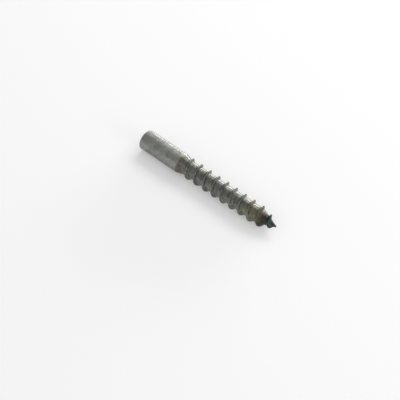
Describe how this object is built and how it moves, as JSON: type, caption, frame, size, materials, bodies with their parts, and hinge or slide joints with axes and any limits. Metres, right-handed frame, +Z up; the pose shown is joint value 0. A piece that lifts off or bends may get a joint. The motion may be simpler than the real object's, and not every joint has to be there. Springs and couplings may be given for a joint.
{
  "type": "headless lag screw",
  "caption": "Headless lag screw with a plain chamfered shank, a short neck cone, a coarse right-hand wood thread and a gimlet point.",
  "frame": {"origin": "centre of the flat plain end, on the screw's axis", "axes": "+X along the axis from the plain end to the point; +Z up as the screw lies on a flat surface"},
  "size_m": [0.0762, 0.0096, 0.0096],
  "materials": {
    "steel": "satin bare steel, with a faint straw tint near the point and a dark blue-grey tint at it"
  },
  "bodies": {
    "root": {"lag_screw": "steel"}
  },
  "joints": []
}
